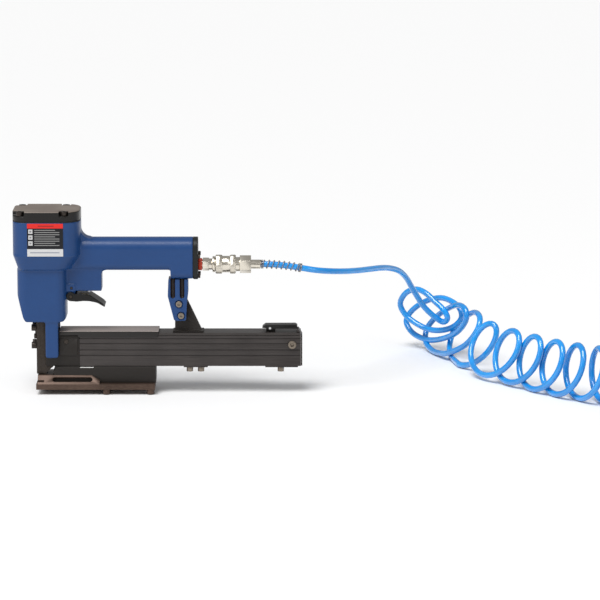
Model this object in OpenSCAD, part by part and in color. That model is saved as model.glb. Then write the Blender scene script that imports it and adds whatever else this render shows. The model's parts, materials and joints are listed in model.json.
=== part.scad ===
// Pneumatic flooring stapler with a sloped guide shoe and a curly air hose.
// Millimetres. +X runs from the nose to the rear of the magazine, +Z is up,
// -Y is the near side. The origin is on the floor under the tool's middle.

/* [Driver and cylinder] */
// Distance of the driver axis in front of the tool's middle
drive_back = 151; // [149:1:152]
// Inner radius of the cylinder sleeve
sleeve_bore_r = 19; // [18:0.5:19.5]
// Wall of the cylinder sleeve
sleeve_wall = 3; // [2.5:0.5:3]
// Height of the tool's top
tool_h = 241; // [239:1:242]

/* [Head] */
// Half width of the head and its cap
head_half_w = 36; // [35:0.5:37]
// Front face of the head, in front of the tool's middle
head_front = 186; // [185:1:188]
// Rear face of the head, in front of the tool's middle
head_rear = 99; // [98:1:101]
// Thickness of the cylinder cap
cap_t = 13.4; // [12.4:0.2:14]

/* [Handle] */
// Half width of the handle
handle_half_w = 17; // [16:0.5:18]
// Underside of the handle above the floor
handle_low = 161; // [160:1:162]
// Top of the handle above the floor
handle_top = 202.7; // [202:0.5:204]
// Rear end of the handle casting
handle_end = 46.4; // [45:0.2:48]

/* [Magazine] */
// Half width of the magazine
mag_half_w = 17; // [16.5:0.5:18]
// Underside of the magazine above the floor
mag_low = 35.6; // [35.2:0.2:36]
// Top of the magazine above the floor
mag_top = 79; // [78.5:0.5:79]
// Crown width of the staples
crown_w = 13.2; // [12.7:0.1:13.4]
// Length of the loaded staple strip
strip_len = 160; // [60:10:160]

/* [Shoe] */
// Thickness of the shoe plate
shoe_t = 7.2; // [7:0.1:8]
// Half width of the shoe plate
shoe_half_w = 30; // [29:0.5:32]
// Height of the round feet
foot_h = 6.7; // [6:0.1:7]

/* [Air line] */
// Height of the air inlet axis above the floor
inlet_h = 167; // [166:1:168]
// Diameter of the curly hose
hose_d = 8; // [8:0.5:8.5]
// Outer diameter of the coiled part of the hose
coil_d = 80; // [78:1:84]

/* [Hidden] */
// Distance that a cut runs past the face it goes through
past = 1;
// Gap between parts that touch without a fit
gap = 0.1;
// Play of a shaft or a slide in its bore
play = 0.05;
drive_x = -drive_back;
sleeve_r = sleeve_bore_r + sleeve_wall;
cap_low = tool_h - cap_t;
gasket_t = 0.6;
head_top = cap_low - gasket_t;
waist_top = 183;
waist_low = 164;
body_low = 95;
body_front = -181;
body_rear = -118;
body_half_w = 27;
rear_block_x = 17.2;
rear_block_low = 149.6;
// Middles of the end cap's upper and lower screws, each as half their distance apart and their height
end_screws = [[13.1, 179.4], [10.4, 153.4]];
bracket_screw_at = [[28, 116.7], [30.7, 101.4]];
chamber_r = 31.5;
cap_screw_x = [-176, -119];
cap_screw_y = 28;
cap_seat = tool_h - 6;
head_front_r = 20;
head_rear_r = 24;
blade_t = 1.4;
blade_half_w = 6;
blade_low = mag_top - 1;
piston_low = 194;
piston_t = 14;
nose_low = 25;
nose_front = drive_x - 6.2;
nose_rear = drive_x + 6;
nose_half_w = 15;
nose_screw_z = [61.9, 85.2];
nose_screw_y = 10;
m5_shank_r = 2.5;
m5_head_r = 4.25;
valve_x = -90;
trigger_x = -112;
trigger_z = 127;
channel_half_w = crown_w / 2 + 0.6;
body_start = -101;
body_end = 186;
rail_half_w = 4.9;
rail_top = 73.6;
strip_x = drive_x + 1.6;
pusher_x = strip_x + strip_len + 0.3;
latch_x = 146;
latch_z = 84;
shoe_top = foot_h + shoe_t;
bar_face = 19.6;
thread_r = 6.5;
guard_x = 133.8;
guard_end = 187;
hose_r = hose_d / 2;
coil_r = coil_d / 2;
// Route of the free hose, from the nut to the first turn of the coil
LEAD = [
    [133.8, 0, 167], [150, 0, 166.6], [168, 0, 165], [187, 0, 162], [206, 5, 158.2], [225, 18, 154.6],
    [244, 38, 151], [262, 64, 147.6], [277, 92, 144.6], [291, 121, 141.2], [303, 148, 136],
    [314, 170, 128.5], [324, 188, 116.5], [333, 202, 101], [342, 212, 86], [350, 219, 75]
];
// Middle line of the opened coil, lying on the floor
COIL = [
    [350, 302], [366, 262], [388, 208], [408, 150], [432, 90], [458, 34], [486, -14], [516, -60],
    [548, -98], [580, -119], [600, -123.5], [612, -124]
];
// Closed coil, along X, and the hose's last straight stretch
CLOSED = [[614, -124], [696, -124]];
TAIL = [[690, -132, 4.2], [690, -150, 5.6], [690, -176, 11]];

// Plan of the head: a box with its own radius at the front and the rear corners
module plan(x0, x1, half_w, front_r, rear_r) {
    translate([x0 + front_r, -half_w]) square([x1 - rear_r - x0 - front_r, 2 * half_w]);
    translate([x0, front_r - half_w]) square([front_r + 0.01, 2 * (half_w - front_r)]);
    translate([x1 - rear_r - 0.01, rear_r - half_w]) square([rear_r + 0.01, 2 * (half_w - rear_r)]);
    for (side = [-1, 1]) {
        translate([x0 + front_r, side * (half_w - front_r)]) circle(r = front_r, $fn = 40);
        translate([x1 - rear_r, side * (half_w - rear_r)]) circle(r = rear_r, $fn = 64);
    }
}

// Box between two corners
module block(low, high) translate(low) cube(high - low);

// Cylinder along X, Y or Z from a start point
module rod_x(start, len, r, fn = 48) translate(start) rotate([0, 90, 0]) cylinder(r = r, h = len, $fn = fn);
module rod_y(start, len, r, fn = 48) translate(start) rotate([-90, 0, 0]) cylinder(r = r, h = len, $fn = fn);
module rod_z(start, len, r, fn = 48) translate(start) cylinder(r = r, h = len, $fn = fn);

// Ring about a vertical axis at the drive axis
module ring_z(z0, z1, outer_r, inner_r, x = drive_x) {
    translate([x, 0, z0]) difference() {
        cylinder(r = outer_r, h = z1 - z0, $fn = 64);
        translate([0, 0, -past]) cylinder(r = inner_r, h = z1 - z0 + 2 * past, $fn = 64);
    }
}

// Ring about an axis along X
module ring_x(x0, x1, outer_r, inner_r, z = inlet_h) {
    difference() {
        rod_x([x0, 0, z], x1 - x0, outer_r);
        rod_x([x0 - past, 0, z], x1 - x0 + 2 * past, inner_r);
    }
}

// Rubber ring about the drive axis
module o_ring(z, middle_r, cord_r) {
    translate([drive_x, 0, z]) rotate_extrude($fn = 64) translate([middle_r, 0])
        circle(r = cord_r, $fn = 20);
}

// Coil spring drawn as the closed tube that its wire fills
module spring_tube_z(z0, z1, outer_r, inner_r, x) ring_z(z0, z1, outer_r, inner_r, x);

// Socket screw along an axis turned from +Z: head above the origin, shank below
module socket_screw(shank_len, head_len = 5, head_r = m5_head_r, shank_r = m5_shank_r) {
    difference() {
        union() {
            cylinder(r = head_r, h = head_len, $fn = 40);
            translate([0, 0, -shank_len]) cylinder(r = shank_r, h = shank_len + 0.1, $fn = 32);
        }
        translate([0, 0, head_len - 2.5]) cylinder(r = head_r * 0.52, h = 4, $fn = 6);
    }
}

// Section of the handle: round top corners, smaller round lower corners
module handle_section(low) {
    top_r = 14;
    low_r = 8;
    translate([-handle_half_w, low + low_r]) square([2 * handle_half_w, handle_top - top_r - low - low_r]);
    translate([top_r - handle_half_w, low]) square([2 * (handle_half_w - top_r), handle_top - low]);
    translate([low_r - handle_half_w, low]) square([2 * (handle_half_w - low_r), top_r]);
    for (side = [-1, 1]) {
        translate([side * (handle_half_w - top_r), handle_top - top_r]) circle(r = top_r, $fn = 48);
        translate([side * (handle_half_w - low_r), low + low_r]) circle(r = low_r, $fn = 40);
    }
}

module along_x(x0, x1) translate([x0, 0, 0]) rotate([90, 0, 90]) linear_extrude(x1 - x0) children();

// Outline in the X-Z plane, drawn out evenly to both sides of Y = 0
module side_outline(half_w, points) {
    translate([0, half_w, 0]) rotate([90, 0, 0]) linear_extrude(2 * half_w) polygon(points);
}

// Straight thin slice of the head's plan, used for its tapered waist
module plan_slice(z, inset) {
    translate([0, 0, z]) linear_extrude(0.02)
        plan(-head_front + inset, -head_rear - inset * 1.6, head_half_w - inset * 0.8, 18 - inset, 22,
             $fn = 32);
}

module housing_outside() {
    translate([0, 0, waist_top]) linear_extrude(head_top - waist_top)
        plan(-head_front, -head_rear, head_half_w, head_front_r, head_rear_r);
    hull() {
        plan_slice(waist_top, 0);
        plan_slice(waist_low, 7);
    }
    intersection() {
        translate([0, 0, body_low - past]) linear_extrude(waist_low - body_low + 3)
            plan(body_front, body_rear, body_half_w, 12, 12);
        side_outline(head_half_w, [
            [body_front, waist_low + 1], [body_front, 130], [-173.4, 100], [-170, body_low],
            [-122, body_low], [body_rear, 99], [body_rear, waist_low + 1]
        ]);
    }
    along_x(-124, rear_block_x + 1) handle_section(handle_low);
    along_x(rear_block_x, handle_end) handle_section(rear_block_low);
    // Blend from the head down to the top of the handle
    translate([0, 12, 0]) rotate([90, 0, 0]) linear_extrude(24) difference() {
        translate([-112, handle_top - 6]) square([26, 19]);
        translate([-86, handle_top + 13]) circle(r = 13, $fn = 48);
    }
    block([-124, -14, 134], [-72, 14, 168]);
    // Lower blend between the valve block and the handle
    translate([0, 13, 0]) rotate([90, 0, 0]) linear_extrude(26) difference() {
        translate([-73, handle_low - 5]) square([6, 8]);
        translate([-67, handle_low - 5]) circle(r = 5, $fn = 40);
    }
    // Trigger ears
    for (side = [-1, 1]) {
        block([-117.5, side > 0 ? 8 : -14, 127], [-106.5, side > 0 ? 14 : -8, 143]);
        rod_y([trigger_x, side > 0 ? 8 : -14, trigger_z], 6, 5.5);
    }
    // Raised flats round the trigger's spare pin hole
    for (side = [-1, 1]) {
        block([-117.5, side > 0 ? 13.9 : -15.6, 133.5], [-106.5, side > 0 ? 15.6 : -13.9, 143]);
    }
    // Legs beside the magazine nose
    for (side = [-1, 1]) {
        block([-144.8, side > 0 ? 17.4 : -26, 50.5], [-128.3, side > 0 ? 26 : -17.4, 112]);
        rod_y([-141.8, side > 0 ? 17.4 : -26, 50.5], 8.6, 3);
        rod_y([-131.3, side > 0 ? 17.4 : -26, 50.5], 8.6, 3);
        block([-141.8, side > 0 ? 17.4 : -26, 47.5], [-131.3, side > 0 ? 26 : -17.4, 51]);
    }
}

module housing() {
    color([0.17, 0.33, 0.57]) difference() {
        housing_outside();
        rod_z([drive_x, 0, waist_top - 3], head_top - waist_top + 4, chamber_r, 80);
        rod_z([drive_x, 0, 100], 90, sleeve_r + gap, 80);
        block([drive_x - 1.6, -8, body_low - 2 * past], [drive_x + 1.6, 8, 101]);
        rod_x([-130, 0, 180], 180, 10);
        rod_x([24, 0, inlet_h], 30, 8);
        rod_z([valve_x, 0, 133], 42, 9 + gap);
        rod_y([trigger_x, -20, trigger_z], 40, 2.1);
        rod_y([-111, -20, 138], 40, 1.6, 24);
        for (x = cap_screw_x, side = [-1, 1]) rod_z([x, side * cap_screw_y, 200], 40, m5_shank_r + gap);
        for (side = [-1, 1], p = end_screws) rod_x([26, side * p[0], p[1]], 30, 1.6);
        block([-119.7, -8, 120], [-100, 8, 133.9]);
    }
}

module cap_screw_positions() {
    for (x = cap_screw_x, side = [-1, 1]) translate([x, side * cap_screw_y, 0]) children();
}

module cylinder_cap() {
    color([0.3, 0.29, 0.29]) difference() {
        union() {
            translate([0, 0, cap_low]) linear_extrude(cap_t - 1.2)
                plan(-head_front, -head_rear, head_half_w, head_front_r, head_rear_r);
            hull() {
                translate([0, 0, tool_h - 1.3]) linear_extrude(0.1)
                    plan(-head_front, -head_rear, head_half_w, head_front_r, head_rear_r, $fn = 32);
                translate([0, 0, tool_h - 0.1]) linear_extrude(0.1)
                    plan(1.4 - head_front, -head_rear - 1.4, head_half_w - 1.4, head_front_r - 1.4,
                         head_rear_r - 1.4, $fn = 32);
            }
        }
        rod_z([drive_x, 0, cap_low - past], 8.4 + past, 26, 80);
        cap_screw_positions() {
            translate([0, 0, cap_low - past]) cylinder(r = m5_shank_r + gap, h = 12, $fn = 32);
            translate([0, 0, cap_seat]) cylinder(r = 6, h = 8, $fn = 40);
        }
        // The screws' seats are open to the sides, and at the front corners all round
        for (side = [-1, 1]) {
            for (x = cap_screw_x) block([x - 6, side > 0 ? cap_screw_y : -40, cap_seat],
                                        [x + 6, side > 0 ? 40 : -cap_screw_y, tool_h + 1]);
            block([-190, side > 0 ? 22 : -40, cap_seat], [cap_screw_x[0], side > 0 ? 40 : -22, tool_h + 1]);
        }
    }
}

module cap_gasket() {
    color([0.12, 0.12, 0.12]) translate([0, 0, head_top]) linear_extrude(gasket_t) difference() {
        plan(-head_front, -head_rear, head_half_w, head_front_r, head_rear_r);
        translate([drive_x, 0]) circle(r = chamber_r, $fn = 80);
        for (x = cap_screw_x, side = [-1, 1]) translate([x, side * cap_screw_y])
            circle(r = m5_shank_r + gap, $fn = 32);
    }
}

module cap_screws() {
    color([0.45, 0.44, 0.43]) cap_screw_positions() translate([0, 0, cap_seat]) socket_screw(31, 5.8, 4.6);
}

module cylinder_sleeve() {
    color([0.72, 0.72, 0.74]) difference() {
        ring_z(100.2, 208, sleeve_r, sleeve_bore_r);
        for (z = [110, 174]) ring_z(z - 1.3, z + 1.3, sleeve_r + past, sleeve_r - 1.4);
        for (a = [0:45:315]) translate([drive_x, 0, 140]) rotate([0, 90, a])
            translate([0, 0, sleeve_bore_r - past]) cylinder(r = 1.2, h = sleeve_wall + 2 * past, $fn = 20);
    }
}

module sleeve_o_rings() {
    color([0.08, 0.08, 0.08]) for (z = [110, 174]) o_ring(z, sleeve_r - 0.65, 0.62);
}

module head_valve() {
    color([0.85, 0.84, 0.8]) union() {
        ring_z(208.4, 213, 27, 6);
        ring_z(212.9, 224, 12, 6);
    }
}

module head_valve_spring() {
    color([0.6, 0.6, 0.6]) spring_tube_z(213.3, 235.6, 16, 13.6, drive_x);
}

module piston() {
    color([0.75, 0.75, 0.77]) difference() {
        union() {
            rod_z([drive_x, 0, piston_low], piston_t, sleeve_bore_r - play, 64);
            rod_z([drive_x, 0, piston_low - 9], 9.1, 8);
        }
        ring_z(200, 203, sleeve_bore_r + past, sleeve_bore_r - 2.35);
        block([drive_x - blade_t / 2 - gap, -blade_half_w - gap, piston_low - 10],
              [drive_x + blade_t / 2 + gap, blade_half_w + gap, piston_low + 1]);
        rod_x([drive_x - 10, 0, piston_low - 5], 20, 1.5 + play, 32);
        rod_z([drive_x, 0, piston_low + piston_t - 4], 5, 8);
    }
}

module piston_o_ring() {
    color([0.08, 0.08, 0.08]) o_ring(201.5, sleeve_bore_r - 1.2, 1.1);
}

module driver_blade() {
    color([0.5, 0.5, 0.52]) difference() {
        block([drive_x - blade_t / 2, -blade_half_w, blade_low],
              [drive_x + blade_t / 2, blade_half_w, piston_low]);
        rod_x([drive_x - 2, 0, piston_low - 5], 4, 1.5 + play, 32);
    }
}

module driver_pin() {
    color([0.6, 0.6, 0.6]) rod_x([drive_x - 7.5, 0, piston_low - 5], 15, 1.5, 32);
}

module bumper() {
    color([0.15, 0.15, 0.15]) difference() {
        rod_z([drive_x, 0, 100.3], 28, sleeve_bore_r - 0.4, 64);
        rod_z([drive_x, 0, 99], 31, 7.4);
        ring_z(108, 112, sleeve_bore_r, sleeve_bore_r - 2);
    }
}

module end_cap_holes(r) {
    for (side = [-1, 1], p = end_screws) rod_x([handle_end - past, side * p[0], p[1]], 12, r, 32);
}

module end_cap_gasket() {
    color([0.1, 0.1, 0.1]) difference() {
        along_x(handle_end, handle_end + gasket_t) handle_section(rear_block_low);
        end_cap_holes(1.6);
        rod_x([handle_end - past, 0, inlet_h], 4, 8);
    }
}

module end_cap() {
    color([0.09, 0.09, 0.1]) difference() {
        along_x(handle_end + gasket_t, handle_end + 6.4) handle_section(rear_block_low - 0.8);
        end_cap_holes(1.6);
        rod_x([handle_end - past, 0, inlet_h], 12, thread_r + gap);
    }
}

module end_cap_screws() {
    color([0.35, 0.33, 0.32]) for (side = [-1, 1], p = end_screws)
        translate([handle_end + 6.5, side * p[0], p[1]]) rotate([0, 90, 0]) socket_screw(20, 3, 2.8, 1.5);
}

module plug_collar() {
    color([0.8, 0.24, 0.15]) difference() {
        ring_x(53, 58.2, 8, thread_r + gap);
        for (a = [0:30:330]) translate([0, 0, inlet_h]) rotate([a, 0, 0]) rod_x([52, 0, 8.4], 8, 0.9, 16);
    }
}

module air_plug() {
    color([0.78, 0.77, 0.75]) difference() {
        union() {
            rod_x([30, 0, inlet_h], 29, thread_r);
            translate([59, 0, inlet_h]) rotate([0, 90, 0]) cylinder(r = 8.7, h = 8, $fn = 6);
            rod_x([66.9, 0, inlet_h], 6, 7.4);
            rod_x([72.8, 0, inlet_h], 8, 5.95);
            rod_x([80.7, 0, inlet_h], 5, 4.6);
            rod_x([85.6, 0, inlet_h], 3, 5.95);
            rod_x([88.5, 0, inlet_h], 6, 4.2);
        }
        rod_x([29, 0, inlet_h], 70, 2.8);
    }
}

module trigger() {
    color([0.1, 0.1, 0.1]) difference() {
        union() {
            side_outline(16.4, [
                [-117, 124], [-113, 121], [-104, 120.4], [-96, 121.2], [-88.3, 121], [-81, 119.6],
                [-77, 118.4], [-72, 115.4], [-68.4, 113.4], [-67.6, 114.6], [-70.4, 117.8], [-75.2, 121.2],
                [-81.2, 125.2], [-86.5, 128.6], [-94, 130.3], [-101, 130.6], [-106, 130.4], [-112, 132]
            ]);
            rod_y([trigger_x, -16.4, trigger_z], 32.8, 6);
        }
        block([-125, -14.3, 105], [-104.5, 14.3, 140]);
        block([-105, -12.8, 124], [-86, 12.8, 128]);
        rod_y([trigger_x, -20, trigger_z], 40, 2 + play, 32);
    }
}

module trigger_pin() {
    color([0.55, 0.55, 0.55]) rod_y([trigger_x, -17, trigger_z], 34, 2, 32);
}

module lug_pin() {
    color([0.15, 0.15, 0.15]) for (side = [-1, 1]) rod_y([-111, side > 0 ? 8.5 : -15.9, 138], 7.4, 1.5, 24);
}

module trigger_valve_body() {
    color([0.8, 0.68, 0.36]) difference() {
        rod_z([valve_x, 0, 134.4], 29, 9);
        rod_z([valve_x, 0, 134], 32, 2.5 + play);
        rod_z([valve_x, 0, 138], 24, 5.5);
        rod_z([valve_x, 0, 158], 6, 4.2);
    }
}

module trigger_valve_stem() {
    color([0.62, 0.62, 0.64]) {
        rod_z([valve_x, 0, 130.8], 14.4, 2.5, 32);
        rod_z([valve_x, 0, 145], 4, 5.3);
    }
}

module trigger_valve_spring() {
    color([0.6, 0.6, 0.6]) spring_tube_z(149.2, 161.8, 4.8, 3.8, valve_x);
}

module nose_plate() {
    color([0.2, 0.19, 0.18]) difference() {
        block([nose_front, -nose_half_w, nose_low], [drive_x - 0.9, nose_half_w, body_low - gap]);
        for (z = nose_screw_z, side = [-1, 1]) {
            rod_x([nose_front - 2, side * nose_screw_y, z], 10, m5_shank_r + gap, 32);
        }
        for (side = [-1, 1]) rod_x([nose_front - 2, side * nose_screw_y, 74], 10, 2 + gap, 32);
        for (side = [-1, 1]) translate([nose_front, side * nose_half_w, 60]) rotate([0, 0, 45])
            cube([2, 2, 90], center = true);
    }
}

module nose_back_plate() {
    color([0.2, 0.19, 0.18]) difference() {
        union() {
            block([drive_x - 0.85, -nose_half_w, nose_low], [nose_rear, nose_half_w, body_low - gap]);
            side_outline(nose_half_w, [
                [nose_rear - 1, nose_low + 1], [nose_rear + 3, nose_low + 4], [nose_rear + 9, 34.5],
                [nose_rear + 9, 35.2], [nose_rear - 1, 35.2]
            ]);
        }
        block([drive_x - 2, -blade_half_w - 0.6, nose_low - past], [drive_x + 0.8, blade_half_w + 0.6, 96]);
        block([drive_x, -channel_half_w, 36.5], [nose_rear + 2, channel_half_w, 77]);
        for (z = nose_screw_z, side = [-1, 1]) {
            rod_x([drive_x - 2, side * nose_screw_y, z], 14, m5_shank_r + gap, 32);
        }
        for (side = [-1, 1]) rod_x([drive_x - 2, side * nose_screw_y, 74], 7, 2 + gap, 32);
    }
}

module nose_screws() {
    color([0.42, 0.38, 0.33]) for (z = nose_screw_z, side = [-1, 1])
        translate([nose_front - 0.05, side * nose_screw_y, z]) rotate([0, -90, 0])
            socket_screw(11.5, 6.4, 4.3);
}

module nose_dowels() {
    color([0.42, 0.38, 0.33]) for (side = [-1, 1]) {
        rod_x([nose_front - 3.2, side * nose_screw_y, 74], 10.5, 2, 32);
        rod_x([nose_front - 3.2, side * nose_screw_y, 74], 3, 3.4, 32);
    }
}

module magazine_nose() {
    color([0.17, 0.16, 0.16]) difference() {
        union() {
            block([nose_rear + 0.2, -mag_half_w, mag_low], [body_start - 0.2, mag_half_w, 78.8]);
            block([-127.6, -18.4, 49.6], [-103.7, 18.4, 72]);
        }
        block([nose_rear - past, -channel_half_w, mag_low - past],
              [body_start + past, channel_half_w, 76.4]);
        rod_y([-118.4, -20, 68], 40, 3 + gap, 32);
    }
}

module magazine_nose_pins() {
    color([0.12, 0.12, 0.12]) for (side = [-1, 1]) rod_y([-118.4, side > 0 ? 9 : -18.9, 68], 9.9, 3, 32);
}

module magazine_body() {
    color([0.23, 0.22, 0.22]) difference() {
        block([body_start, -mag_half_w, mag_low], [body_end, mag_half_w, mag_top]);
        block([body_start - past, -channel_half_w, mag_low - past], [body_end + past, channel_half_w, 76.4]);
        for (side = [-1, 1]) {
            block([body_start - past, side > 0 ? 9.2 : -14, 42.5],
                  [body_end + past, side > 0 ? 14 : -9.2, 74]);
            for (z = [49.6, 57, 65.3, 71.9, 76.2]) block(
                [body_start - past, side > 0 ? mag_half_w - 1 : -mag_half_w - past, z - 0.7],
                [body_end + past, side > 0 ? mag_half_w + past : 1 - mag_half_w, z + 0.7]);
            for (x = [41.7, 56.3, 160]) rod_z([x, side * 11.6, mag_low - past], 8.4, 2 + gap, 32);
            rod_y([175, side > 0 ? 13 : -18, 63.9], 5, 2.5 + gap, 32);
        }
    }
}

module magazine_cover() {
    color([0.55, 0.52, 0.5]) difference() {
        block([-127.4, -18.5, 73.6], [1.7, 18.5, 82]);
        block([-130, -17.2, 70], [3, 17.2, mag_top + 0.2]);
        side_outline(30, [[-3, 70], [3, 70], [3, 79.4]]);
        for (side = [-1, 1]) block([-129, side > 0 ? 17 : -19, 73], [-103.2, side > 0 ? 19 : -17, 76.4]);
    }
}

module staple_rail() {
    color([0.6, 0.6, 0.6]) difference() {
        union() {
            block([strip_x + 3.5, -rail_half_w, 37.5], [body_end, rail_half_w, rail_top]);
            block([-141, -channel_half_w + 0.4, 36], [body_end, channel_half_w - 0.4, 37.6]);
        }
        rod_x([strip_x + 12, 0, 56], 400, 3.4);
        block([strip_x + 20, -1.2, 56], [176, 1.2, rail_top + past]);
    }
}

module staple_strip() {
    half_w = crown_w / 2;
    color([0.75, 0.74, 0.7]) difference() {
        block([strip_x, -half_w, 38.2], [strip_x + strip_len, half_w, 75.6]);
        block([strip_x - past, 1.4 - half_w, 37], [strip_x + strip_len + past, half_w - 1.4, 74]);
        for (x = [strip_x + 10:10:strip_x + strip_len - 2])
            block([x, -half_w - past, 37], [x + 0.4, 0.3 - half_w, 77]);
    }
}

module pusher() {
    half_w = crown_w / 2;
    color([0.7, 0.62, 0.4]) union() {
        difference() {
            block([pusher_x, -half_w, 40], [pusher_x + 26, half_w, 75.6]);
            block([pusher_x - past, 0.3 - half_w + 1.2, 39], [pusher_x + 27, half_w - 1.5, 74]);
        }
        block([pusher_x + 6, -1, 57], [pusher_x + 20, 1, 74.1]);
        rod_x([pusher_x + 6, 0, 56], 14, 3, 32);
    }
}

module pusher_spring() {
    color([0.55, 0.55, 0.55]) difference() {
        rod_x([pusher_x + 20.4, 0, 56], body_end - pusher_x - 22, 2.9, 32);
        rod_x([pusher_x + 19, 0, 56], body_end - pusher_x, 2, 32);
    }
}

module rail_end_block() {
    color([0.08, 0.08, 0.08]) difference() {
        block([181, -mag_half_w, 36], [188, mag_half_w, 82.4]);
        block([180, -mag_half_w - past, 30], [body_end + gap, mag_half_w + past, mag_top + 0.2]);
        for (side = [-1, 1]) block([180, side > 0 ? 12 : -20, 73], [190, side > 0 ? 20 : -12, 90]);
        side_outline(20, [[183.4, 84], [183.4, 82.4], [188, 74.6], [190, 74.6], [190, 84]]);
    }
}

module magazine_side_screws() {
    color([0.5, 0.47, 0.43]) for (side = [-1, 1]) translate([175, side * (mag_half_w + 0.05), 63.9])
        rotate([side > 0 ? -90 : 90, 0, 0]) socket_screw(2.8, 2, 5.2);
}

module latch_bracket() {
    color([0.1, 0.1, 0.1]) difference() {
        union() {
            block([latch_x - 5, -4.5, mag_top + 0.02], [latch_x + 7, 4.5, latch_z]);
            rod_y([latch_x, -4.5, latch_z], 9, 3.2);
        }
        rod_y([latch_x, -6, latch_z], 12, 1.5 + play, 32);
    }
}

module latch_lever() {
    color([0.09, 0.09, 0.09]) difference() {
        union() {
            side_outline(9, [
                [latch_x - 10, 84.4], [latch_x - 9, 85.6], [latch_x - 6, 88], [latch_x + 33, 88.2],
                [latch_x + 35.6, 86.6], [latch_x + 35.6, 83.4], [latch_x + 4, 83.4]
            ]);
            rod_y([latch_x, -9, latch_z], 18, 3.4);
        }
        block([latch_x - 6, -4.8, 70], [latch_x + 8.4, 4.8, 87.6]);
        rod_y([latch_x, -10, latch_z], 20, 1.5 + play, 32);
    }
}

module latch_pin() {
    color([0.5, 0.5, 0.5]) rod_y([latch_x, -9.4, latch_z], 18.8, 1.5, 32);
}

module magazine_pads() {
    color([0.13, 0.13, 0.13]) difference() {
        union() {
            block([33.8, -15, 33.6], [65, 15, mag_low - 0.02]);
            block([139.9, -15, 33.6], [182.4, 15, mag_low - 0.02]);
        }
        for (x = [41.7, 56.3, 160], side = [-1, 1]) rod_z([x, side * 11.6, 30], 10, 2 + gap, 32);
    }
}

module magazine_base_screws() {
    color([0.42, 0.38, 0.33]) for (x = [41.7, 56.3, 160], side = [-1, 1])
        translate([x, side * 11.6, 33.5]) rotate([180, 0, 0]) socket_screw(8, 5.5, 4.2, 2);
}

module bracket_outline(half_w) {
    side_outline(half_w, [
        [14.4, rear_block_low - 0.6], [13.5, 127], [21.2, 96.5], [23, 94.6], [35.6, 94.6], [37.2, 96],
        [38.5, 119.6],
        [39.9, 130], [39.9, rear_block_low - 0.6]
    ]);
}

module rear_bracket() {
    color([0.17, 0.33, 0.57]) difference() {
        bracket_outline(14);
        block([0, -4.3, 90], [60, 4.3, 123.6]);
        for (side = [-1, 1]) for (x = [20.2, 32.2]) {
            rod_z([x, side * 11.6, 127], 30, 2.9, 32);
            rod_y([x, side > 0 ? 11.6 : -16, 127], 4.4, 2.9, 32);
            block([x - 2.9, side > 0 ? 11.6 : -16, 127], [x + 2.9, side > 0 ? 16 : -11.6, 157]);
            translate([x, side * 11.6, 127]) sphere(r = 2.9, $fn = 32);
        }
        for (p = bracket_screw_at) {
            rod_y([p[0], -20, p[1]], 40, m5_shank_r + gap, 32);
            rod_y([p[0], -18, p[1]], 5.5, 5, 40);
        }
    }
}

module gusset_plate() {
    color([0.09, 0.09, 0.09]) difference() {
        union() {
            side_outline(4, [
                [22.5, mag_top + 1.9], [22.5, 100], [21, 122], [38, 122], [39.4, 119], [57.4, mag_top + 1.9]
            ]);
            block([20, -12, mag_top + 0.02], [60, 12, mag_top + 2]);
        }
        for (p = bracket_screw_at) rod_y([p[0], -20, p[1]], 40, m5_shank_r + gap, 32);
    }
}

module bracket_screws() {
    color([0.5, 0.47, 0.43]) for (p = bracket_screw_at) {
        translate([p[0], -12.55, p[1]]) rotate([90, 0, 0]) socket_screw(29, 3, 4);
        translate([p[0], 14.1, p[1]]) rotate([-90, 0, 0]) difference() {
            cylinder(r = 4.6, h = 4, $fn = 6);
            translate([0, 0, -past]) cylinder(r = m5_shank_r + play, h = 6, $fn = 32);
        }
    }
}

module shoe_bar() {
    color([0.13, 0.12, 0.12]) difference() {
        block([-135.5, -bar_face, shoe_top + 0.02], [-2.5, bar_face, mag_low - 0.4]);
        block([-101, -30, mag_low - 1.6], [-83, 30, mag_low + past]);
        block([-136, -30, 30], [-133, 30, 40]);
    }
}

// The shoe's sloped guide face with its long slot
module shoe_plate() {
    slope_end = -75;
    slope_start = -155.6;
    color([0.45, 0.38, 0.33]) difference() {
        union() {
            block([-157.3, -shoe_half_w, foot_h], [-3.3, shoe_half_w, shoe_top]);
            intersection() {
                translate([slope_start, 0, 0]) rotate([90, 0, 90])
                    linear_extrude(slope_end - slope_start) polygon([
                    [-shoe_half_w, shoe_top - 1], [-shoe_half_w, shoe_top],
                    [-bar_face - 0.3, shoe_top + 10.2],
                    [-bar_face - 0.3, shoe_top - 1]
                ]);
                side_outline(shoe_half_w + 1, [
                    [slope_start, 0], [slope_start, 30], [slope_end - 10.5, shoe_top + 10.2],
                    [slope_end, shoe_top + 4], [slope_end, 0]
                ]);
            }
            block([-155.6, -bar_face - 0.6, shoe_top - 0.5], [-136.2, bar_face, 24.2]);
        }
        // Slot, cut square to the slope
        translate([-110.4, -24.6, shoe_top + 5.2]) rotate([45, 0, 0]) translate([0, 0, -9]) {
            translate([-22.4, -3.7, 0]) cube([44.8, 7.4, 30]);
            for (side = [-1, 1]) translate([side * 22.4, 0, 0]) cylinder(r = 3.7, h = 30, $fn = 40);
        }
        // Notch at the front end of the slope
        block([-160, -32, 16.2], [-147, -24, 18.6]);
        // Driver outlet
        block([drive_x - 3, -10, foot_h - past], [drive_x + 3, 10, 30]);
    }
}

module shoe_feet() {
    feet = [[-66.4, -25], [-9, -25], [-150, 8], [-150, 24], [-66.4, 24], [-9, 24]];
    color([0.45, 0.38, 0.33]) for (p = feet) {
        rod_z([p[0], p[1], 1], foot_h - 1.02, 5, 40);
        translate([p[0], p[1], 0]) cylinder(r1 = 4, r2 = 5, h = 1.01, $fn = 40);
    }
}

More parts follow.
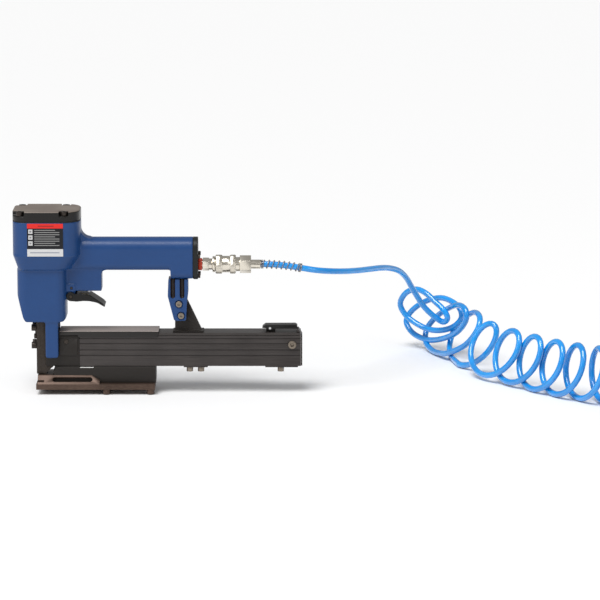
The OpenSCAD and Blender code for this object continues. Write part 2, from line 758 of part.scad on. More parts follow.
module label_plate() {
    color([0.1, 0.1, 0.1]) block([-166.1, -head_half_w - 0.42, 183.2], [-119.9, -head_half_w - 0.02, 225.8]);
}

module coupler_body() {
    color([0.7, 0.66, 0.6]) difference() {
        union() {
            rod_x([71.6, 0, inlet_h], 35, 9.25);
            rod_x([71.6, 0, inlet_h], 3, 10.4);
            rod_x([106.4, 0, inlet_h], 0.4, 9.25);
        }
        rod_x([70, 0, inlet_h], 26, 6);
        rod_x([70, 0, inlet_h], 3.2, 7.6);
        rod_x([95, 0, inlet_h], 20, 3);
    }
}

module coupler_sleeve() {
    color([0.7, 0.66, 0.6]) difference() {
        union() {
            rod_x([75.4, 0, inlet_h], 8.6, 12.3, 64);
            rod_x([83.9, 0, inlet_h], 10.6, 10.8, 64);
            rod_x([94.4, 0, inlet_h], 7.4, 12.3, 64);
        }
        rod_x([74, 0, inlet_h], 30, 9.3, 64);
    }
}

module hose_nut() {
    color([0.68, 0.65, 0.6]) difference() {
        union() {
            translate([106.9, 0, inlet_h]) rotate([0, 90, 0]) cylinder(r = 11.8, h = 14.6, $fn = 6);
            rod_x([121.4, 0, inlet_h], 12.3, 5.9);
        }
        rod_x([106, 0, inlet_h], 30, 2.8);
    }
}

// Centre, direction and swept ring of a tube along given points
function unit(v) = v / norm(v);
function ahead(p, i) = unit(p[min(i + 1, len(p) - 1)] - p[max(i - 1, 0)]);
function side_of(d) = unit(cross(d, [0, 0, 1]));
function ring_at(p, i, r, sides) = let (d = ahead(p, i), s = side_of(d), u = cross(s, d))
    [for (k = [0:sides - 1]) p[i] + r * (cos(360 * k / sides) * s + sin(360 * k / sides) * u)];

// Closed tube of round section along a list of points
module tube(points, r, sides) {
    n = len(points);
    rings = [for (i = [0:n - 1]) each ring_at(points, i, r, sides)];
    walls = [for (i = [0:n - 2], k = [0:sides - 1]) let (a = i * sides + k, b = i * sides + (k + 1) % sides)
        [a, b, b + sides, a + sides]];
    polyhedron(rings, concat([[for (k = [sides - 1:-1:0]) k]], walls,
        [[for (k = [0:sides - 1]) (n - 1) * sides + k]]));
}

// Smooth points between the given ones, by a Catmull-Rom curve
function spline_point(p, i, t) = let (
    a = p[max(i - 1, 0)], b = p[i], c = p[i + 1], d = p[min(i + 2, len(p) - 1)]
) 0.5 * (2 * b + (c - a) * t + (2 * a - 5 * b + 4 * c - d) * t * t + (3 * b - a - 3 * c + d) * t * t * t);
function smooth(p, steps) = [
    for (i = [0:len(p) - 2], k = [0:steps - 1]) spline_point(p, i, k / steps),
    p[len(p) - 1]
];

module spring_guard() {
    color([0.2, 0.28, 0.4]) tube_wall(smooth([for (i = [0:3]) LEAD[i]], 3), 6.4, 4.6);
}

// Tube with a bore along the same points
module tube_wall(points, outer_r, inner_r) {
    difference() {
        tube(points, outer_r, 16);
        tube([for (i = [0:len(points) - 1]) points[i] + (i == 0 ? -ahead(points, 0) : i == len(points) - 1
            ? ahead(points, i) : [0, 0, 0])], inner_r, 16);
    }
}

module hose_lead() {
    color([0.13, 0.55, 0.9]) tube(smooth(LEAD, 3), hose_r, 12);
}

module hose_coil_open() {
    path = [for (p = COIL) [p[0], p[1], coil_r]];
    color([0.13, 0.55, 0.9]) tube(smooth(path, 2), coil_r, 16);
}

module hose_coil_closed() {
    color([0.13, 0.55, 0.9])
        rod_x([CLOSED[0][0], CLOSED[0][1], coil_r], CLOSED[1][0] - CLOSED[0][0], coil_r, 64);
}

module hose_tail() {
    color([0.13, 0.55, 0.9]) tube(smooth(TAIL, 3), hose_r, 12);
}

module hose_end_fitting() {
    color([0.7, 0.66, 0.6]) translate(TAIL[2]) rotate([90, 0, 0]) translate([0, 0, 0.6]) {
        cylinder(r = 5.9, h = 12, $fn = 40);
        translate([0, 0, 11.9]) rotate(30) cylinder(r = 10.8, h = 12, $fn = 6);
        translate([0, 0, 23.8]) cylinder(r = 7.4, h = 6, $fn = 40);
        translate([0, 0, 29.7]) cylinder(r = 5.95, h = 9, $fn = 40);
        translate([0, 0, 38.6]) cylinder(r = 4.6, h = 5, $fn = 40);
        translate([0, 0, 43.5]) cylinder(r = 5.95, h = 3, $fn = 40);
    }
}

housing();
cylinder_cap();
cap_gasket();
cap_screws();
cylinder_sleeve();
sleeve_o_rings();
head_valve();
head_valve_spring();
piston();
piston_o_ring();
driver_blade();
driver_pin();
bumper();
end_cap();
end_cap_gasket();
end_cap_screws();
plug_collar();
air_plug();
trigger();
trigger_pin();
lug_pin();
trigger_valve_body();
trigger_valve_stem();
trigger_valve_spring();
nose_plate();
nose_back_plate();
nose_screws();
nose_dowels();
magazine_nose();
magazine_nose_pins();
magazine_body();
magazine_cover();
staple_rail();
staple_strip();
pusher();
pusher_spring();
rail_end_block();
magazine_side_screws();
latch_bracket();
latch_lever();
latch_pin();
magazine_pads();
magazine_base_screws();
rear_bracket();
gusset_plate();
bracket_screws();
shoe_bar();
shoe_plate();
shoe_feet();
label_plate();
coupler_body();
coupler_sleeve();
hose_nut();
spring_guard();
hose_lead();
hose_coil_open();
hose_coil_closed();
hose_tail();
hose_end_fitting();
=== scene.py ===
"""Flooring stapler with a curly air hose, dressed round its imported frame."""
import json
import math

import bmesh
import bpy
from mathutils import Matrix, Vector


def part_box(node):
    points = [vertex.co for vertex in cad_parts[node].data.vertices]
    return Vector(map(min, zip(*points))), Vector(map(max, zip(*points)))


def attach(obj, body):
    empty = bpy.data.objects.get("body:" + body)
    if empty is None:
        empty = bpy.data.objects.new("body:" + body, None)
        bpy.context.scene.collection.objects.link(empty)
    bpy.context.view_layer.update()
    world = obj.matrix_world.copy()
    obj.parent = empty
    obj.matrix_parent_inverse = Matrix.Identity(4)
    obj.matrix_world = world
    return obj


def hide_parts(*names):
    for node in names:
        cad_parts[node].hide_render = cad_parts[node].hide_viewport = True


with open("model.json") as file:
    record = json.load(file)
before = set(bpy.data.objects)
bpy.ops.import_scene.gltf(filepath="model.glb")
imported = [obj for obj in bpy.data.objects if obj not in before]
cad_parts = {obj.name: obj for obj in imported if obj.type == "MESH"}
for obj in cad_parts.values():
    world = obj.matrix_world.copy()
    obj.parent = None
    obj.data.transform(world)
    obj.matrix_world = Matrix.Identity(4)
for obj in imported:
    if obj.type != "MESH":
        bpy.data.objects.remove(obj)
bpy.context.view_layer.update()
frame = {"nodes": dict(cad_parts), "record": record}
scene = bpy.context.scene
MM = 0.001


def place(x, y, z):
    """A point given in millimetres, in metres."""
    return Vector((x, y, z)) * MM


# ---------------------------------------------------------------- camera

AIM = place(185, 0, 119.7)
CAMERA_DISTANCE = 4.9
CAMERA_ELEVATION = math.radians(10.3)
VIEW_WIDTH = 0.78
SENSOR_WIDTH = 36


def make_camera():
    data = bpy.data.cameras.new("camera")
    data.sensor_width = SENSOR_WIDTH
    data.lens = SENSOR_WIDTH * CAMERA_DISTANCE / VIEW_WIDTH
    data.clip_end = 50
    camera = bpy.data.objects.new("camera", data)
    back = Vector((0, -math.cos(CAMERA_ELEVATION), math.sin(CAMERA_ELEVATION)))
    camera.location = AIM + back * CAMERA_DISTANCE
    camera.rotation_mode = "QUATERNION"
    camera.rotation_quaternion = (-back).to_track_quat("-Z", "Y")
    scene.collection.objects.link(camera)
    scene.camera = camera


# ---------------------------------------------------------------- shader maths


class Value:
    """One output of a shader node, with arithmetic that adds Math nodes."""

    def __init__(self, finish, socket):
        self.finish = finish
        self.socket = socket

    def maths(self, operation, *others):
        inputs = {0: self} | dict(enumerate(others, 1))
        return self.finish.node("ShaderNodeMath", {"operation": operation}, inputs)

    def reflected(self, operation, first):
        return self.finish.node("ShaderNodeMath", {"operation": operation}, {0: first, 1: self})

    def __add__(self, other):
        return self.maths("ADD", other)

    def __sub__(self, other):
        return self.maths("SUBTRACT", other)

    def __mul__(self, other):
        return self.maths("MULTIPLY", other)

    def __radd__(self, other):
        return self.reflected("ADD", other)

    def __rsub__(self, other):
        return self.reflected("SUBTRACT", other)

    def __rmul__(self, other):
        return self.reflected("MULTIPLY", other)

    def over(self, limit):
        return self.maths("GREATER_THAN", limit)

    def under(self, limit):
        return self.maths("LESS_THAN", limit)


class Finish:
    """A material being built round one Principled shader."""

    def __init__(self, name, **shader):
        self.material = bpy.data.materials.new(name)
        self.material.use_nodes = True
        self.tree = self.material.node_tree
        self.shader = self.tree.nodes["Principled BSDF"]
        self.place = self.node("ShaderNodeTexCoord", {}, {}, "Object")
        for socket, value in shader.items():
            self.shader.inputs[socket.replace("_", " ").title().replace("Ior", "IOR")].default_value = value

    def node(self, kind, settings, inputs, output=0):
        node = self.tree.nodes.new(kind)
        for key, value in settings.items():
            if key == "stops":
                for stop, (at, colour) in zip(node.color_ramp.elements, value):
                    stop.position, stop.color = at, colour
            else:
                setattr(node, key, value)
        for key, value in inputs.items():
            self.feed(node.inputs[key], value)
        return Value(self, node.outputs[output])

    def feed(self, socket, value):
        if isinstance(value, Value):
            self.tree.links.new(value.socket, socket)
        else:
            socket.default_value = value

    def noise(self, scale, detail=3, roughness=0.55, stretch=(1, 1, 1)):
        """Noise with that many cells a metre, stretched by a factor along each axis."""
        at = self.node("ShaderNodeMapping", {}, {"Vector": self.place, "Scale": stretch})
        inputs = {"Vector": at, "Scale": scale, "Detail": detail, "Roughness": roughness}
        return self.node("ShaderNodeTexNoise", {}, inputs, "Fac")

    def ramp(self, value, low, high):
        """value, spread so that low gives 0 and high gives 1."""
        inputs = {"Value": value, "From Min": low, "From Max": high}
        return self.node("ShaderNodeMapRange", {}, inputs, "Result")

    def mix(self, mask, a, b):
        return self.node("ShaderNodeMix", {"data_type": "RGBA"}, {0: mask, 6: a, 7: b}, 2)

    def axes(self):
        split = self.node("ShaderNodeSeparateXYZ", {}, {0: self.place})
        outputs = split.socket.node.outputs
        return [Value(self, outputs[k]) for k in range(3)]

    def bump(self, height, strength, distance):
        inputs = {"Height": height, "Strength": strength, "Distance": distance}
        self.feed(self.shader.inputs["Normal"], self.node("ShaderNodeBump", {}, inputs, "Normal"))

    def set(self, socket, value):
        self.feed(self.shader.inputs[socket], value)


def rgb(r, g, b):
    return (r, g, b, 1)


def surface(
    name, dark, light, metallic, rough, grain=900, relief=0.15, stretch=(1, 1, 1), depth=0.0002, **more
):
    """A finish whose colour and gloss vary with a fine grain and broad soft patches."""
    finish = Finish(name, metallic=metallic, **more)
    fine = finish.noise(grain, 4, 0.6, stretch)
    broad = finish.noise(22, 3, 0.5)
    finish.set("Base Color", finish.mix(finish.ramp(fine * 0.6 + broad * 0.4, 0.32, 0.68), dark, light))
    blotch = finish.ramp(fine * 0.5 + broad * 0.5, 0.3, 0.7)
    finish.set("Roughness", rough[0] + blotch * (rough[1] - rough[0]))
    finish.bump(fine, relief, depth)
    return finish.material


def between(value, low, high):
    """1 where value lies between low and high."""
    return value.over(low) * value.under(high)


# ---------------------------------------------------------------- finishes

# Where painted shade and painted light sit on a piece, in millimetres: along X or up Z, or half the depth
# in Y
SHADED_FLUTE_COLUMNS = ((17.1, 23.3), (29.1, 35.3))
SHADED_FLUTE_HEIGHTS = (123.8, 149.3)
SHADED_FLUTE_HALF_DEPTH = 13.1
BAR_SLOT_HIGHLIGHT_ENDS = (-100.8, -83.2)
BAR_SLOT_HIGHLIGHT_EDGES = (33.8, 34.6)
CAP_LIT_TOP_EDGE = (239.9, 240.5)
COVER_LIT_TOP_EDGE = (81.2, 81.8)


def blue_enamel():
    """Enamel over a cast skin: faint orange peel, rubbed edges, painted shade in the bracket's flutes."""
    finish = Finish("blue_enamel", coat_weight=0.12, coat_roughness=0.2, specular_ior_level=0.32)
    peel = finish.noise(700, 2, 0.5)
    skin = finish.noise(160, 5, 0.6)
    broad = finish.noise(14, 2, 0.5)
    worn = finish.node("ShaderNodeNewGeometry", {}, {}, "Pointiness")
    edge = finish.ramp(worn + skin * 0.03, 0.55, 0.62)
    blend = finish.ramp(skin * 0.4 + broad * 0.6, 0.3, 0.7)
    blue = finish.mix(blend, rgb(0.007, 0.043, 0.155), rgb(0.0095, 0.053, 0.182))
    blue = finish.mix(edge * 0.25, blue, rgb(0.05, 0.12, 0.28))
    x, y, z = finish.axes()
    # Painted shade: where the rear bracket's flutes sink into shadow, the enamel is painted a dark brown.
    columns = sum(between(x, low * MM, high * MM) for low, high in SHADED_FLUTE_COLUMNS)
    depth = between(y, -SHADED_FLUTE_HALF_DEPTH * MM, SHADED_FLUTE_HALF_DEPTH * MM)
    flute_shade = columns * between(z, *(height * MM for height in SHADED_FLUTE_HEIGHTS)) * depth
    finish.set("Base Color", finish.mix(flute_shade, blue, rgb(0.02, 0.013, 0.012)))
    finish.set("Roughness", 0.36 + finish.ramp(skin, 0.3, 0.7) * 0.12)
    finish.bump(peel * 0.4 + skin * 0.6, 0.15, 0.0003)
    return finish.material


def blackened_paint():
    """Satin black, with the milled slot at the shoe bar's top painted near white: its bare metal brightened
    into a painted highlight.
    """
    finish = Finish("blackened_paint", metallic=0.1, specular_ior_level=0.3)
    grain = finish.noise(1200, 4, 0.6)
    broad = finish.noise(25, 3, 0.5)
    black = finish.mix(grain * 0.5 + broad * 0.5, rgb(0.014, 0.0115, 0.01), rgb(0.026, 0.022, 0.019))
    # Painted highlight: the milled slot's bare metal is painted near white, as a bright sliver.
    x, _, z = finish.axes()
    length = between(x, *(end * MM for end in BAR_SLOT_HIGHLIGHT_ENDS))
    slot = length * between(z, *(edge * MM for edge in BAR_SLOT_HIGHLIGHT_EDGES))
    finish.set("Base Color", finish.mix(slot, black, rgb(0.9, 0.9, 0.88)))
    finish.set("Roughness", 0.42 + grain * 0.16)
    finish.bump(grain, 0.14, 0.0002)
    return finish.material


def clear_blue_hose():
    """Glossy polyurethane: a deep blue with light that carries a little way into it."""
    finish = Finish(
        "clear_blue_hose", coat_weight=0.9, coat_roughness=0.03, subsurface_weight=0.1,
        subsurface_scale=0.002,
    )
    broad = finish.noise(30, 2, 0.5)
    fine = finish.noise(500, 3, 0.5)
    depth = finish.ramp(broad, 0.35, 0.65)
    finish.set("Base Color", finish.mix(depth, rgb(0.002, 0.24, 0.66), rgb(0.005, 0.31, 0.8)))
    finish.set("Roughness", 0.16 + finish.ramp(fine, 0.3, 0.7) * 0.08)
    finish.bump(fine, 0.05, 0.0002)
    return finish.material


def cap_with_painted_top_light():
    """Satin casting: its top is painted a warm grey as painted light, its sides are near black."""
    finish = Finish("cap_with_painted_top_light", metallic=0.2, specular_ior_level=0.35)
    grain = finish.noise(420, 4, 0.6)
    broad = finish.noise(35, 3, 0.5)
    # Painted light: the cap's upward face is coloured a lit warm grey, and its sides a shaded near black.
    top = finish.ramp(finish.axes()[2] + grain * 0.0004, *(edge * MM for edge in CAP_LIT_TOP_EDGE))
    side = finish.mix(grain, rgb(0.007, 0.0065, 0.006), rgb(0.016, 0.0145, 0.0135))
    face = finish.mix(finish.ramp(broad, 0.35, 0.65), rgb(0.175, 0.14, 0.118), rgb(0.22, 0.185, 0.155))
    finish.set("Base Color", finish.mix(top, side, face))
    finish.set("Roughness", 0.3 + top * 0.14 + grain * 0.06)
    finish.bump(grain, 0.14, 0.0002)
    return finish.material


def top_lit_cover():
    """Grey anodised sheet: its top is painted light grey as a painted reflection, its folded sides are
    dark.
    """
    finish = Finish("cover_sheet", metallic=0.55)
    drawn = finish.noise(900, 4, 0.6, (0.04, 1, 1))
    height = finish.axes()[2]
    # Painted reflection: the sheet's top face is coloured light grey, while its folded sides keep the dark.
    top = finish.ramp(height, *(edge * MM for edge in COVER_LIT_TOP_EDGE))
    dark = finish.mix(drawn, rgb(0.022, 0.02, 0.019), rgb(0.036, 0.033, 0.031))
    light = finish.mix(drawn, rgb(0.31, 0.265, 0.245), rgb(0.42, 0.365, 0.34))
    finish.set("Base Color", finish.mix(top, dark, light))
    finish.set("Roughness", 0.38 + drawn * 0.15)
    finish.bump(drawn, 0.12, 0.0002)
    return finish.material


def label_print():
    """A made-up notice: a red band, a black field with blank signs and ruled lines, a white foot."""
    finish = Finish("label_print", roughness=0.5, specular_ior_level=0.25)
    low, high = [Vector(c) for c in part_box("label_plate")]
    x, _, z = finish.axes()
    across = (x - low.x) * (1 / (high.x - low.x))
    up = (z - low.z) * (1 / (high.z - low.z))
    speck = finish.noise(2500, 2, 0.5)
    black = rgb(0.008, 0.008, 0.008)
    white = rgb(0.6, 0.6, 0.6)
    colour = finish.mix(up.under(0.225), black, white)
    colour = finish.mix(up.over(0.857), colour, rgb(0.7, 0.022, 0.014))
    signs = None
    for centre in (0.76, 0.58, 0.40):
        square = between(across, 0.035, 0.15) * between(up, centre - 0.065, centre + 0.065)
        hollow = between(across, 0.062, 0.123) * between(up, centre - 0.03, centre + 0.03)
        sign = square - hollow * 0.6
        signs = sign if signs is None else signs + sign
    colour = finish.mix(signs, colour, white)
    ruled = None
    for row in range(8):
        height = 0.80 - row * 0.066
        end = 0.9 if row % 3 else 0.78
        line = between(across, 0.2, end) * between(up, height - 0.012, height + 0.012)
        ruled = line if ruled is None else ruled + line
    colour = finish.mix(ruled * 0.55, colour, rgb(0.45, 0.45, 0.44))
    title = between(across, 0.3, 0.74) * between(up, 0.905, 0.945)
    colour = finish.mix(title * 0.7, colour, rgb(0.2, 0.015, 0.01))
    foot = between(across, 0.08, 0.9) * between(up, 0.1, 0.13)
    finish.set("Base Color", finish.mix(foot * 0.7 + speck * 0.05, colour, rgb(0.1, 0.12, 0.2)))
    finish.bump(speck, 0.04, 0.0001)
    return finish.material


def make_finishes():
    ground = dict(grain=1300, relief=0.1, stretch=(0.05, 1, 1), depth=0.0001)
    return {
        "blue_casting": blue_enamel(),
        "hose_blue": clear_blue_hose(),
        "cover_grey": top_lit_cover(),
        "label": label_print(),
        "dark_cap": cap_with_painted_top_light(),
        "gasket": surface("gasket_black", rgb(0.01, 0.01, 0.01), rgb(0.03, 0.03, 0.03), 0, (0.6, 0.8)),
        "dark_steel": surface(
            "dark_steel", rgb(0.028, 0.022, 0.018), rgb(0.07, 0.057, 0.048), 0.7, (0.34, 0.52), 700, 0.2
        ),
        "bright_steel": surface(
            "bright_steel", rgb(0.5, 0.5, 0.5), rgb(0.66, 0.66, 0.67), 1, (0.2, 0.34), **ground
        ),
        "rubber": surface("rubber_black", rgb(0.012, 0.012, 0.012), rgb(0.03, 0.03, 0.03), 0, (0.55, 0.75)),
        "pale_plastic": surface(
            "pale_plastic", rgb(0.66, 0.64, 0.56), rgb(0.74, 0.72, 0.64), 0, (0.4, 0.5)
        ),
        "black_plastic": surface(
            "black_plastic", rgb(0.006, 0.0065, 0.0065), rgb(0.013, 0.0145, 0.014), 0, (0.4, 0.5), 1600,
            specular_ior_level=0.3,
        ),
        "red_plastic": surface(
            "red_plastic", rgb(0.5, 0.035, 0.015), rgb(0.66, 0.07, 0.03), 0, (0.25, 0.35)
        ),
        "nickel": surface(
            "warm_nickel", rgb(0.62, 0.57, 0.49), rgb(0.82, 0.77, 0.67), 1, (0.16, 0.3), **ground
        ),
        "black_lever": surface(
            "black_lever", rgb(0.004, 0.004, 0.004), rgb(0.01, 0.0095, 0.009), 0.1, (0.26, 0.38), 500, 0.2,
            specular_ior_level=0.3,
        ),
        "brass": surface(
            "turned_brass", rgb(0.52, 0.38, 0.15), rgb(0.68, 0.52, 0.25), 1, (0.22, 0.34), **ground
        ),
        "screw_steel": surface(
            "screw_steel", rgb(0.17, 0.14, 0.11), rgb(0.33, 0.285, 0.235), 0.9, (0.26, 0.42), 1100, 0.15
        ),
        "magazine_black": surface(
            "magazine_anodised", rgb(0.035, 0.03, 0.0285), rgb(0.07, 0.061, 0.058), 0.5, (0.36, 0.5), 1000,
            0.18, (0.03, 1, 1),
        ),
        "black_paint": blackened_paint(),
        "bronze_steel": surface(
            "bronze_steel", rgb(0.05, 0.03, 0.022), rgb(0.13, 0.085, 0.064), 0.6, (0.38, 0.55), 800, 0.25,
            (0.25, 1, 1),
        ),
        "guard_spring": surface(
            "guard_wire", rgb(0.2, 0.18, 0.17), rgb(0.42, 0.39, 0.36), 1, (0.18, 0.3), 900
        ),
    }


# ---------------------------------------------------------------- the hose

HOSE_RADIUS = 4
COIL_RADIUS = 34
# Route of the free hose, from the nut to the first turn
LEAD = [
    (133.8, 0, 167), (150, 0, 166.6), (168, 0, 165), (187, 0, 162), (206, 5, 158.2), (225, 18, 154.6),
    (244, 38, 151), (262, 64, 147.6), (278, 92, 144.6), (293, 121, 141.2), (306, 148, 136),
    (318, 170, 128.5), (328, 188, 116.5), (336, 202, 101), (344, 212, 86), (353, 221, 71), (366, 228, 57),
]
# The first four turns, which lie tumbled over each other
TUMBLED = [
    (380, 233, 47), (386, 226, 54), (380, 230, 65), (369, 240, 74), (358, 250, 83),
    (345, 262, 87), (331, 275, 80), (323, 284, 64), (329, 284, 49), (343, 276, 38),
    (362, 263, 31), (381, 247, 33), (396, 235, 41), (405, 230, 53), (403, 235, 65),
    (393, 250, 72), (378, 268, 74), (359, 288, 66), (341, 303, 51), (332, 307, 34),
    (341, 293, 20), (360, 271, 15), (379, 238, 22.6), (398, 205, 38), (409, 188, 57),
    (409, 192, 71), (400, 213, 74), (386, 248, 62), (371, 278, 44), (360, 287, 27),
    (358, 273, 12), (365, 251, 5), (375, 224, 5.5), (387, 196, 11.5), (408, 166, 28),
    (423, 151, 51), (427, 163, 66), (421, 196, 67), (408, 227, 53), (395, 240, 33),
    (389, 228, 13), (391, 200, 5),
]
# Bottom of each opened turn, how far it faces along the axis and how far it leans, in degrees
OPENED = [
    (400, 149, 4.2, 55, 26), (427, 64, 7.8, 57, 23), (457.5, 27, 5.7, 60, 19),
    (486.5, -10, 4.2, 62, 17), (514, -42, 4.2, 64, 15), (543, -68, 4.2, 68, 12),
    (573, -92, 4.2, 75, 8), (600, -112, 4.2, 82, 4), (620, -124, 4.2, 90, 0),
]
CLOSED_TURNS = 8
CLOSED_END = 690
TAIL = [(690, -132, 4.1), (690, -150, 5.6), (690, -176, 11)]
STEPS_PER_TURN = 32


def curve_through(points, steps):
    """Points on a Catmull-Rom curve through the given ones; each may be a point or a row of numbers."""
    rows = [Vector(p) for p in points]
    last = len(rows) - 1
    found = []
    for i in range(last):
        a, b, c, d = rows[max(i - 1, 0)], rows[i], rows[i + 1], rows[min(i + 2, last)]
        for k in range(steps):
            t = k / steps
            square = (2 * a - 5 * b + 4 * c - d) * t**2
            cube = (3 * b - a - 3 * c + d) * t**3
            found.append(0.5 * (2 * b + (c - a) * t + square + cube))
    return found + [rows[last]]


def turn_point(row, phase):
    """A point of a turn, from its row: phase 0 is its bottom, a quarter turn is its near side."""
    facing, leaning = row[3:]
    near = Vector((math.cos(math.radians(facing)), -math.sin(math.radians(facing)), 0))
    up = Vector((math.sin(math.radians(leaning)), 0, math.cos(math.radians(leaning))))
    bottom = Vector(row[:3])
    return bottom + COIL_RADIUS * (up - math.cos(phase) * up + math.sin(phase) * near)


def hose_route():
    """The hose's middle line, in millimetres."""
    start = OPENED[-1][0]
    step = (CLOSED_END - start) / CLOSED_TURNS
    closed = [(start + step * (k + 1),) + OPENED[-1][1:] for k in range(CLOSED_TURNS)]
    rows = curve_through(OPENED + closed, STEPS_PER_TURN)
    turns = [turn_point(row, 2 * math.pi * k / STEPS_PER_TURN) for k, row in enumerate(rows)]
    drawn = curve_through(LEAD + TUMBLED + [turns[0]], 4)[:-1]
    return drawn + turns + curve_through([turns[-1]] + TAIL, 5)[1:]


def tube_curve(name, points, radius, resolution=5):
    """A round tube along points in millimetres, as a curve of one spline."""
    data = bpy.data.curves.new(name, "CURVE")
    data.dimensions = "3D"
    data.bevel_depth = radius * MM
    data.bevel_resolution = resolution
    data.use_fill_caps = True
    spline = data.splines.new("POLY")
    spline.points.add(len(points) - 1)
    for target, p in zip(spline.points, points):
        target.co = (*(Vector(p) * MM), 1)
    spline.use_smooth = True
    tube = bpy.data.objects.new(name, data)
    scene.collection.objects.link(tube)
    return tube


def dress(piece, body, slot):
    """Gives a new piece its body and its finish."""
    piece.data.materials.clear()
    piece.data.materials.append(finishes[slot])
    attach(piece, body)
    return piece


def frame_along(points, k):
    """Direction, side and up at point k of a route."""
    ahead = (points[min(k + 1, len(points) - 1)] - points[max(k - 1, 0)]).normalized()
    side = ahead.cross(Vector((0, 0, 1))).normalized()
    return ahead, side, side.cross(ahead)


def make_spring_guard():
    """The wire guard over the hose's first stretch: close wound at both ends, open between."""
    route = curve_through(LEAD[:5], 24)
    wire, inner = 0.62, 4.75
    close_pitch, open_pitch = 1.7, 6.4
    open_from, open_to, end = 4, 50, 54
    steps = 12
    turns = [0.0]
    travelled = [0.0]
    for a, b in zip(route, route[1:]):
        at = travelled[-1] + (b - a).length
        closed = at < open_from or at > open_to
        travelled.append(at)
        turns.append(turns[-1] + (b - a).length / (close_pitch if closed else open_pitch))
    keep = [k for k, at in enumerate(travelled) if at < end]
    points = []
    for k in keep[:-1]:
        _, side, up = frame_along(route, k)
        for part in range(steps):
            t = part / steps
            angle = 2 * math.pi * (turns[k] * (1 - t) + turns[k + 1] * t)
            middle = route[k] * (1 - t) + route[k + 1] * t
            points.append(middle + (inner + wire) * (math.cos(angle) * side + math.sin(angle) * up))
    guard = tube_curve("guard_coil", points, wire, 2)
    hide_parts("spring_guard")
    return dress(guard, "casing", "guard_spring")


def make_hose():
    route = hose_route()
    hose = tube_curve("air_hose", route, HOSE_RADIUS, 6)
    dress(hose, "casing", "hose_blue")
    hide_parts("hose_lead", "hose_coil_open", "hose_coil_closed", "hose_tail")
    return hose


# ---------------------------------------------------------------- copies of CAD nodes


def merged_copy(node, name):
    """A new piece with a CAD node's shape, its loose triangles joined."""
    mesh = bpy.data.meshes.new(name)
    bm = bmesh.new()
    bm.from_mesh(frame["nodes"][node].data)
    bmesh.ops.remove_doubles(bm, verts=bm.verts, dist=2e-6)
    bmesh.ops.dissolve_degenerate(bm, edges=bm.edges, dist=1e-6)
    bm.to_mesh(mesh)
    bm.free()
    piece = bpy.data.objects.new(name, mesh)
    scene.collection.objects.link(piece)
    return piece


def settle(piece):
    """Makes a piece's modifiers its mesh."""
    bpy.context.view_layer.update()
    shaped = bpy.data.meshes.new_from_object(piece.evaluated_get(bpy.context.evaluated_depsgraph_get()))
    piece.modifiers.clear()
    piece.data = shaped


def body_of(node):
    return next(body for body, nodes in frame["record"]["behaviour"]["bodies"].items() if node in nodes)


def slot_of(node):
    return next(s["material_slot"] for s in frame["record"]["subparts"] if s["node"] == node)


def stand_in(piece, node):
    """Dresses a piece that takes a CAD node's place."""
    dress(piece, body_of(node), slot_of(node))
    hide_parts(node)
    return piece


def cast(node, grain, passes):
    """The node as a casting: every edge and inner corner softly rounded."""
    piece = merged_copy(node, node + "_cast")
    remesh = piece.modifiers.new("skin", "REMESH")
    remesh.mode = "VOXEL"
    remesh.voxel_size = grain * MM
    remesh.use_smooth_shade = True
    smooth = piece.modifiers.new("round", "SMOOTH")
    smooth.factor = 0.5
    smooth.iterations = passes
    settle(piece)
    return stand_in(piece, node)


def eased(node, width):
    """The node with its sharp edges broken by a small round."""
    piece = merged_copy(node, node + "_eased")
    bm = bmesh.new()
    bm.from_mesh(piece.data)
    bmesh.ops.dissolve_limit(bm, angle_limit=math.radians(0.8), verts=bm.verts, edges=bm.edges)
    bm.to_mesh(piece.data)
    bm.free()
    for face in piece.data.polygons:
        face.use_smooth = True
    bevel = piece.modifiers.new("ease", "BEVEL")
    bevel.width = width * MM
    bevel.segments = 2
    bevel.limit_method = "ANGLE"
    bevel.angle_limit = math.radians(32)
    bevel.use_clamp_overlap = True
    bevel.harden_normals = True
    return stand_in(piece, node)


# ---------------------------------------------------------------- turned pieces


def lathe(bm, profile, axis_start, direction, sides):
    """Spins a closed profile of (along, radius) rows, in millimetres, about an axis."""
    verts = [bm.verts.new((along * MM, 0, radius * MM)) for along, radius in profile]
    edges = [bm.edges.new((a, b)) for a, b in zip(verts, verts[1:])]
    bmesh.ops.spin(
        bm, geom=verts + edges, cent=(0, 0, 0), axis=(1, 0, 0), angle=2 * math.pi, steps=sides,
        use_merge=True,
    )
    bmesh.ops.remove_doubles(bm, verts=bm.verts, dist=1e-7)
    turn = Vector((1, 0, 0)).rotation_difference(Vector(direction)).to_matrix().to_4x4()
    bmesh.ops.transform(bm, matrix=Matrix.Translation(place(*axis_start)) @ turn, verts=bm.verts)
    bmesh.ops.recalc_face_normals(bm, faces=bm.faces)


def piece_from(bm, name, sharp=30):
    """A piece from a bmesh, smooth but for its sharp edges."""
    for face in bm.faces:
        face.smooth = True
    for edge in bm.edges:
        edge.smooth = edge.calc_face_angle(0) < math.radians(sharp)
    mesh = bpy.data.meshes.new(name)
    bm.to_mesh(mesh)
    bm.free()
    piece = bpy.data.objects.new(name, mesh)
    scene.collection.objects.link(piece)
    return piece


